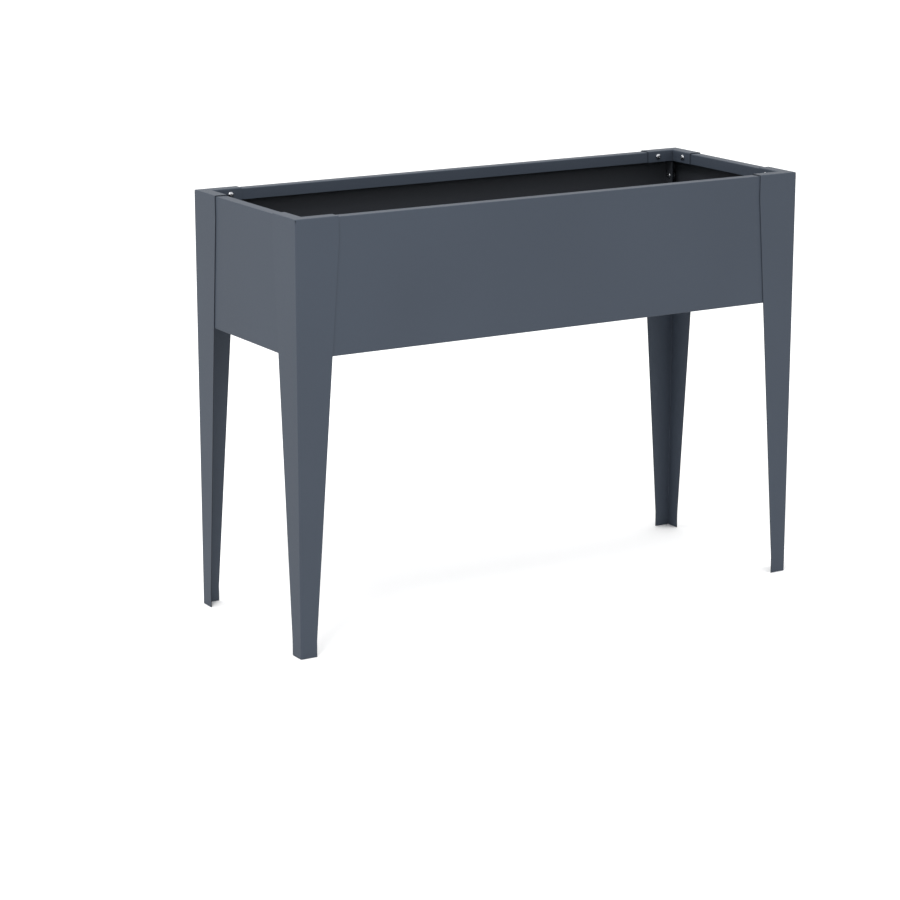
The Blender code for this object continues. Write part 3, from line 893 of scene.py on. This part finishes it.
# %% [markdown]
# ## Floor of the trough
# Two plates lie on the panels' ledges. Each has a low rim on three sides, a notch round each
# corner joint, and drain holes. Where the plates meet, both turn up into a rib, and three screws
# through the ribs make them one stiff floor.

# %% Cut, fold and drill the floor plates
BASE_SHEET = 0.0010
BASE_RIM_HEIGHT = 0.015
RIB_HEIGHT = 0.022
CORNER_CLEARANCE = 0.0030
DRAIN_RADIUS = 0.004
DRAIN_SPACING = 0.150
DRAINS_IN_ROW = 3
DRAIN_ROW_OFFSET = 0.090  # the planter's centre plane to a row of drain holes

base_low, base_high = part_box("left_base_plate")
rib_screw = middle_of("middle_rib_screw")
rib_screw_y = [middle_of(f"{spot}_rib_screw").y for spot in ("front", "middle", "rear")]
BASE_NOTCH = RIM_WIDTH + CORNER_CLEARANCE - (base_low.x - low.x)


def floor_plate(name, place):
    """One half of the floor, drawn where the left half lies."""
    outer = base_low.x
    inner = base_high.x
    half = base_high.y
    sheet = flat_blank(outer, inner, -half, half)
    score(sheet, AXIS_X, [outer + BASE_NOTCH, inner - RELIEF])
    score(sheet, AXIS_Y, [-half + RELIEF, -half + BASE_NOTCH, half - BASE_NOTCH, half - RELIEF])
    snip(sheet, lambda x, y: x < outer + BASE_NOTCH and abs(y) > half - BASE_NOTCH)
    snip(sheet, lambda x, y: x > inner - RELIEF and abs(y) > half - RELIEF)
    for axis, edge_place in ((AXIS_Y, -half), (AXIS_Y, half), (AXIS_X, outer)):
        fold(sheet, free_edges(sheet, axis, edge_place), BASE_RIM_HEIGHT * AXIS_Z)
    fold(sheet, free_edges(sheet, AXIS_X, inner), RIB_HEIGHT * AXIS_Z)
    round_folds(sheet, -AXIS_Z, BASE_SHEET)

    rib_rise = rib_screw.z - base_low.z
    rib_holes = [(inner - BASE_SHEET / 2, y, rib_rise) for y in rib_screw_y]
    drains = [
        (-(step + 0.5) * DRAIN_SPACING, row * DRAIN_ROW_OFFSET, BASE_SHEET / 2)
        for step in range(DRAINS_IN_ROW)
        for row in (-1, 1)
    ]
    drills = [
        rods(rib_holes, AXIS_X, HOLE_RADIUS, DRILL_LENGTH),
        rods(drains, AXIS_Z, DRAIN_RADIUS, DRILL_LENGTH),
    ]
    return finish_sheet(name, sheet, BASE_SHEET, base_coat, place, drills)


for side, half_turns in (("left", 0), ("right", 1)):
    place = Matrix.Translation((0, 0, base_low.z)) @ Matrix.Rotation(half_turns * math.pi, 4, "Z")
    plate = floor_plate(f"{side}_base_plate_folded", place)
    settle(plate, f"{side}_base_plate")
    print(plate.name, len(plate.data.polygons), "faces")

# %% [markdown]
# A CAD fastener's box tells where its seat is: a screw's head points into the trough and its
# crown is the box's end on that side, and a nut sits with its flange on the sheet. Each copy is
# turned about its own axis by another angle, as screws are when they have been done up by hand.

# %% Copy the masters to their seats
GOLDEN_ANGLE = math.pi * (3 - math.sqrt(5))


def seat_copy(master, name, node, points_along, seat_from_top):
    """Copy a master so that its own top, points_along, meets the end of the node's box."""
    node_low, node_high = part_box(node)
    middle = (node_low + node_high) / 2
    half_length = abs((node_high - node_low).dot(points_along)) / 2
    seat = middle + (half_length - seat_from_top) * points_along
    turn = AXIS_Z.rotation_difference(points_along).to_matrix().to_4x4()
    twist = Matrix.Rotation(GOLDEN_ANGLE * len(bpy.data.objects), 4, "Z")
    mesh = master.data.copy()
    mesh.name = name
    mesh.transform(Matrix.Translation(seat) @ turn @ twist)
    piece = bpy.data.objects.new(name, mesh)
    bpy.context.scene.collection.objects.link(piece)
    settle(piece, node)


def inward_axis(node):
    """The axis that a corner fastener lies along, pointing into the trough."""
    middle = middle_of(node)
    along_y = "_rim_long_" in node or "nut_long" in node
    axis, place = (AXIS_Y, middle.y) if along_y else (AXIS_X, middle.x)
    return -math.copysign(1, place) * axis


fasteners = [node for node in sorted(frame["nodes"]) if "screw" in node or "nut" in node]
for node in fasteners:
    inward = AXIS_X if "_rib_" in node else inward_axis(node)
    if node.endswith("_screw"):
        seat_copy(screw_master, f"{node}_turned", node, inward, HEAD_HEIGHT)
    elif "_stud_nut_" in node:
        seat_copy(nut_master, f"{node}_turned", node, inward, NUT_HEIGHT)
    else:
        seat_copy(nut_master, f"{node}_turned", node, -inward, NUT_HEIGHT)
for master in (screw_master, nut_master):
    bpy.data.objects.remove(master)
print("fasteners set:", len(fasteners))

# %% [markdown]
# ## Studio
# The planter stands on a pale table that is lit until it is pure white and shows next to no
# shadow. A white world gives even light from all round. One small soft panel, high at the left
# front, adds a little light to what faces up and to the left.

# %% Floor and lights
SKY_WHITE = (1, 1, 1, 1)
SKY_STRENGTH = 1.5
TABLE_SIZE = 60
TABLE_PATCH = 0.5
TABLE_DARK = (0.89, 0.89, 0.89)
TABLE_LIGHT = (0.91, 0.91, 0.91)
LAMP_PLACE = (-1.8, -1.3, 3.4)
LAMP_SIZE = 1.0
LAMP_POWER = 55

world = bpy.data.worlds.new("studio")
world.use_nodes = True
sky = world.node_tree.nodes["Background"]
sky.inputs["Color"].default_value = SKY_WHITE
sky.inputs["Strength"].default_value = SKY_STRENGTH
bpy.context.scene.world = world
bpy.context.scene.view_settings.view_transform = "Standard"

table_top = Finish("studio_table", {"Roughness": 0.9, "Specular IOR Level": 0.0})
table_tone = table_top.blend(table_top.noise(TABLE_PATCH), TABLE_DARK, TABLE_LIGHT)
table_top.feed(table_top.shader, {"Base Color": table_tone})
table_half = TABLE_SIZE / 2
ground = flat_blank(-table_half, table_half, -table_half, table_half)
just_below = Matrix.Translation((0, 0, -SHEET_GAP))
floor = as_object("studio_floor", ground, table_top.material, just_below)


def soft_panel(name, place, size, power):
    """A round soft lamp that faces the origin."""
    light = bpy.data.lights.new(name, "AREA")
    light.shape = "DISK"
    light.size = size
    light.energy = power
    lamp = bpy.data.objects.new(name, light)
    lamp.location = place
    lamp.rotation_euler = Vector(place).to_track_quat("Z", "Y").to_euler()
    bpy.context.scene.collection.objects.link(lamp)
    return lamp


left_panel = soft_panel("left_soft_panel", LAMP_PLACE, LAMP_SIZE, LAMP_POWER)
print("studio:", world.name, floor.name, left_panel.name)
